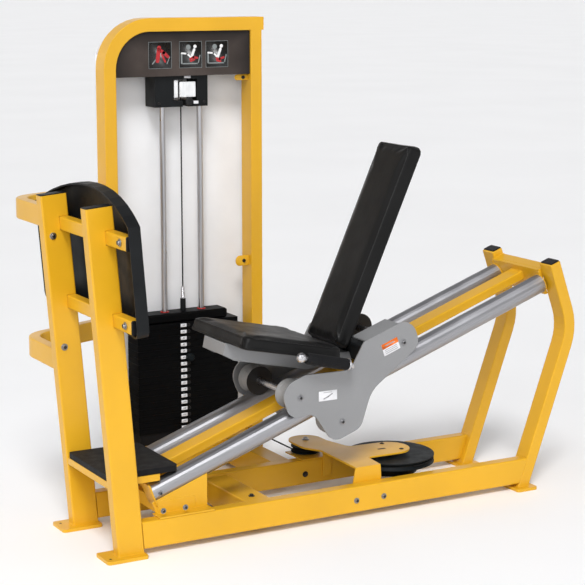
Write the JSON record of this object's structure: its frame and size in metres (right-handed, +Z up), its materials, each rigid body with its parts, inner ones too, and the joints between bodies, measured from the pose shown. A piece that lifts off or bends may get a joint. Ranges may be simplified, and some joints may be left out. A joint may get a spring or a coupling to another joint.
{
  "type": "leg press machine",
  "caption": "Seated leg press with an inclined rolling seat carriage, fixed curved footplate, chrome guide tubes and a cable-driven weight stack tower.",
  "frame": {"origin": "on the floor, at the middle of the machine's footprint box", "axes": "+X from the footplate to the raised rear ends of the guide tubes, +Y from the press towards the weight tower, +Z up; the user sits on the carriage facing -X"},
  "size_m": [2.1216, 1.228, 1.882],
  "materials": {
    "yellow_paint": "semi-gloss powder coat",
    "grey_paint": "satin metallic powder coat",
    "black_paint": "satin powder coat",
    "placard_plastic": "printed sheet",
    "light_grey_paint": "satin",
    "light_grey_nylon": "moulded",
    "rubber": "matte",
    "roller_urethane": "satin",
    "vinyl": "upholstery vinyl",
    "black_iron": "painted black",
    "chrome": "polished",
    "bright_steel": "zinc plated",
    "black_nylon": "moulded"
  },
  "bodies": {
    "frame": {"rail_left": "yellow_paint", "rail_right": "yellow_paint", "front_post_left": "yellow_paint", "front_post_right": "yellow_paint", "front_foot_left": "yellow_paint", "front_foot_right": "yellow_paint", "rear_post_left": "yellow_paint", "rear_post_right": "yellow_paint", "rear_foot_left": "yellow_paint", "rear_foot_right": "yellow_paint", "rear_crossbar": "yellow_paint", "centre_beam": "yellow_paint", "front_bracket": "yellow_paint", "middle_crossmember": "yellow_paint", "upper_crossbar": "yellow_paint", "lower_crossbar": "yellow_paint", "upper_stay": "yellow_paint", "lower_stay": "yellow_paint", "tower_arch": "yellow_paint", "tower_base": "yellow_paint", "step_tray": "yellow_paint", "pulley_bracket": "yellow_paint", "footplate": "black_paint", "pulley_housing": "black_paint", "placard": "placard_plastic", "shroud": "light_grey_paint", "step_pad": "rubber", "stack_bumper": "rubber", "stack_cable": "rubber", "transfer_cable": "rubber", "resting_plates": "black_iron", "guide_tube_left": "chrome", "guide_tube_right": "chrome", "guide_rod_left": "chrome", "guide_rod_right": "chrome"},
    "carriage": {"carriage_plate_left": "grey_paint", "carriage_plate_right": "grey_paint", "front_axle": "bright_steel", "rear_axle": "bright_steel", "bottom_axle": "bright_steel", "back_frame": "black_paint", "seat_frame": "grey_paint", "seat_pad": "vinyl", "back_pad": "vinyl", "handle_bar": "bright_steel", "grip_left": "rubber", "grip_right": "rubber"},
    "front_rollers": {"front_roller_left": "roller_urethane", "front_roller_right": "roller_urethane"},
    "rear_rollers": {"rear_roller_left": "roller_urethane", "rear_roller_right": "roller_urethane"},
    "bottom_rollers": {"bottom_roller_left": "roller_urethane", "bottom_roller_right": "roller_urethane"},
    "lifted_stack": {"stack_head": "black_iron", "cable_fitting": "bright_steel", "lifted_plates": "black_iron"},
    "selector_pin": {"selector_pin": "bright_steel"},
    "main_pulley": {"main_pulley": "black_nylon"},
    "corner_pulley": {"corner_pulley": "black_nylon"},
    "top_pulley": {"top_pulley": "light_grey_nylon"}
  },
  "joints": [
    {"name": "carriage_slide", "type": "slide", "parent": "frame", "child": "carriage", "axis": [0.9416, 0, 0.3368], "range_m": [0, 0.55]},
    {"name": "stack_lift", "type": "slide", "parent": "frame", "child": "lifted_stack", "axis": [0, 0, 1], "range_m": [0, 0.55], "deforming": ["stack_cable"]},
    {"name": "selector_pin_pull", "type": "slide", "parent": "lifted_stack", "child": "selector_pin", "axis": [0, -1, 0], "range_m": [0, 0.08]},
    {"name": "front_roller_spin", "type": "hinge", "parent": "carriage", "child": "front_rollers", "pos_m": [-0.2052, -0.189, 0.4983], "axis": [0, 1, 0], "range_deg": [0, 760]},
    {"name": "rear_roller_spin", "type": "hinge", "parent": "carriage", "child": "rear_rollers", "pos_m": [0.2511, -0.189, 0.6625], "axis": [0, 1, 0], "range_deg": [0, 740]},
    {"name": "bottom_roller_spin", "type": "hinge", "parent": "carriage", "child": "bottom_rollers", "pos_m": [-0.0218, -0.189, 0.3833], "axis": [0, 1, 0], "range_deg": [-615, 0]},
    {"name": "main_pulley_spin", "type": "hinge", "parent": "frame", "child": "main_pulley", "pos_m": [0.3262, -0.189, 0.15], "axis": [0, 0, 1], "range_deg": [-190, 0]},
    {"name": "corner_pulley_spin", "type": "hinge", "parent": "frame", "child": "corner_pulley", "pos_m": [0.0932, 0.0845, 0.15], "axis": [0, 0, 1], "range_deg": [0, 580]},
    {"name": "top_pulley_spin", "type": "hinge", "parent": "frame", "child": "top_pulley", "pos_m": [-0.2313, 0.5723, 1.592], "axis": [1, 0, 0], "range_deg": [-1270, 0]}
  ],
  "couplings": [
    {"joint": "stack_lift", "follows": "carriage_slide", "ratio": 1},
    {"joint": "front_roller_spin", "follows": "carriage_slide", "rad_per_m": 23.866},
    {"joint": "rear_roller_spin", "follows": "carriage_slide", "rad_per_m": 23.31},
    {"joint": "bottom_roller_spin", "follows": "carriage_slide", "rad_per_m": -19.268},
    {"joint": "main_pulley_spin", "follows": "carriage_slide", "rad_per_m": -5.7804},
    {"joint": "corner_pulley_spin", "follows": "carriage_slide", "rad_per_m": 18.182},
    {"joint": "top_pulley_spin", "follows": "carriage_slide", "rad_per_m": -40}
  ]
}
